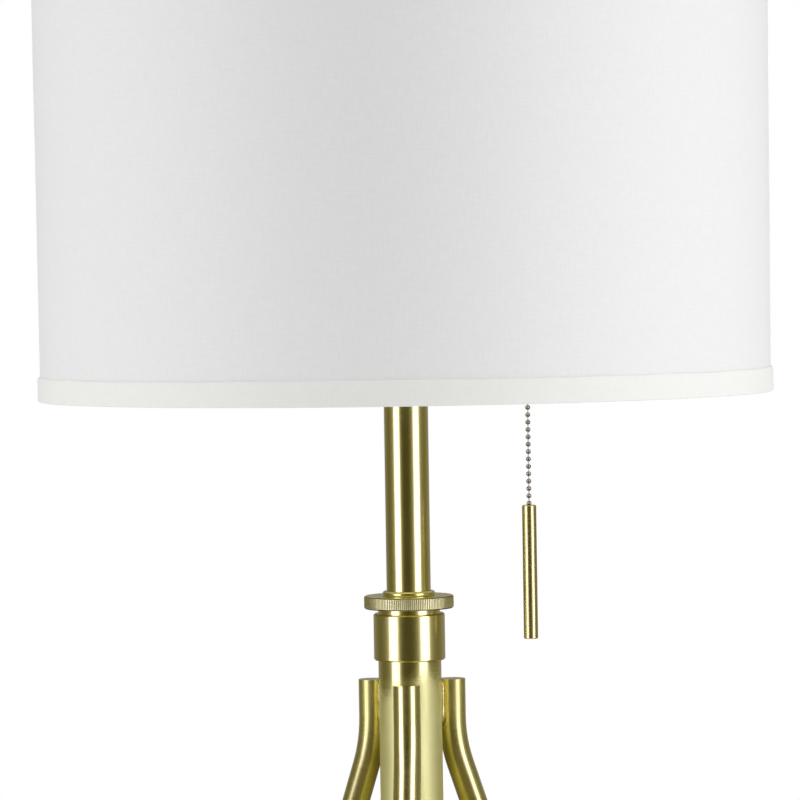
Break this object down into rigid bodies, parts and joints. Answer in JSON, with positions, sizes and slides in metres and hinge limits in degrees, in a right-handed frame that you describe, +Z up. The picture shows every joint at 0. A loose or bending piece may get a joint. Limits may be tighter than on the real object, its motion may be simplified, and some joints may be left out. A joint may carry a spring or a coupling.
{
  "type": "adjustable tripod table lamp",
  "caption": "Height-adjustable table lamp: bent tube tripod, telescoping pole with a knurled lock ring, linen drum shade and a ball chain with a slim bar pull.",
  "frame": {"origin": "on the lamp's vertical axis at the table top, under the centre of the tripod", "axes": "+Z up along the pole, -Y towards the front leg, +X towards the socket with the pull chain"},
  "size_m": [0.4098, 0.4098, 0.7731],
  "materials": {
    "satin_brass": "satin brushed antique brass",
    "plated_steel": "zinc plated, satin",
    "nickel_chain": "nickel plated",
    "black_rubber": "matt moulded",
    "nylon": "natural nylon",
    "liner_board": "pressed fibre",
    "moulded_black": "moulded phenolic",
    "frosted_glass": "frosted white",
    "white_linen": "plain woven linen",
    "shade_backing": "smooth white backing",
    "trim_tape": "folded linen tape"
  },
  "bodies": {
    "base": {"leg_front": "satin_brass", "leg_right": "satin_brass", "leg_left": "satin_brass", "leg_cap_front": "satin_brass", "leg_cap_right": "satin_brass", "leg_cap_left": "satin_brass", "foot_front": "black_rubber", "foot_right": "black_rubber", "foot_left": "black_rubber", "leg_welds": "satin_brass", "lower_tube": "satin_brass", "tube_end_cap": "satin_brass", "cord_bushing": "black_rubber", "collar": "satin_brass", "clamp_collet": "satin_brass"},
    "lock_ring": {"lock_ring": "satin_brass"},
    "guide_bush": {"guide_bush": "nylon"},
    "column": {"pole": "satin_brass", "pole_stop_ring": "plated_steel", "pole_top_plug": "plated_steel", "lamp_nipple": "plated_steel", "check_ring": "satin_brass", "cluster_body": "satin_brass", "cluster_lid": "satin_brass", "cluster_arm_right": "satin_brass", "cluster_arm_left": "satin_brass", "socket_cap_right": "satin_brass", "socket_cap_left": "satin_brass", "socket_shell_right": "satin_brass", "socket_shell_left": "satin_brass", "socket_liner_right": "liner_board", "socket_liner_left": "liner_board", "switch_block": "moulded_black", "terminal_block": "moulded_black", "screw_shell_right": "plated_steel", "screw_shell_left": "plated_steel", "centre_contact_right": "satin_brass", "centre_contact_left": "satin_brass", "chain_guide": "satin_brass", "bulb_base_right": "plated_steel", "bulb_base_left": "plated_steel", "bulb_globe_right": "frosted_glass", "bulb_globe_left": "frosted_glass", "riser_rod": "plated_steel", "riser_nuts": "satin_brass", "shade_rest": "satin_brass"},
    "shade": {"shade_linen": "white_linen", "shade_lining": "shade_backing", "top_trim": "trim_tape", "bottom_trim": "trim_tape", "top_ring": "plated_steel", "bottom_ring": "plated_steel", "spider_hub": "plated_steel", "spider_arms": "plated_steel"},
    "finial": {"finial": "satin_brass"},
    "chain_lead": {"chain_lead": "nickel_chain"},
    "chain_link": {"chain_top_link": "nickel_chain"},
    "chain": {"pull_chain": "nickel_chain"},
    "pull": {"pull_insert": "nickel_chain", "pull_bar": "satin_brass"}
  },
  "joints": [
    {"name": "lock_ring_turn", "type": "hinge", "parent": "base", "child": "lock_ring", "pos_m": [0, 0, 0.39115], "axis": [0, 0, 1], "range_deg": [0, 180]},
    {"name": "height_slide", "type": "slide", "parent": "base", "child": "guide_bush", "axis": [0, 0, 1], "range_m": [-0.1, 0.038]},
    {"name": "column_turn", "type": "hinge", "parent": "guide_bush", "child": "column", "pos_m": [0, 0, 0.3974], "axis": [0, 0, 1], "range_deg": [-170, 170]},
    {"name": "shade_turn", "type": "hinge", "parent": "column", "child": "shade", "pos_m": [0, 0, 0.7479], "axis": [0, 0, 1], "continuous": true},
    {"name": "finial_turn", "type": "hinge", "parent": "column", "child": "finial", "pos_m": [0, 0, 0.7501], "axis": [0, 0, 1], "continuous": true},
    {"name": "chain_pull", "type": "slide", "parent": "column", "child": "chain_lead", "axis": [0, 0, -1], "range_m": [0, 0.01], "stiffness_N_per_m": 600, "springref_m": -0.004},
    {"name": "chain_swing_side", "type": "hinge", "parent": "chain_lead", "child": "chain_link", "pos_m": [0.0677, 0, 0.58017], "axis": [0, -1, 0], "range_deg": [-10, 20]},
    {"name": "chain_swing_front", "type": "hinge", "parent": "chain_link", "child": "chain", "pos_m": [0.0677, 0, 0.57608], "axis": [1, 0, 0], "range_deg": [-20, 20]},
    {"name": "pull_swing", "type": "hinge", "parent": "chain", "child": "pull", "pos_m": [0.0677, 0, 0.44111], "axis": [0, -1, 0], "range_deg": [-12, 12]}
  ]
}
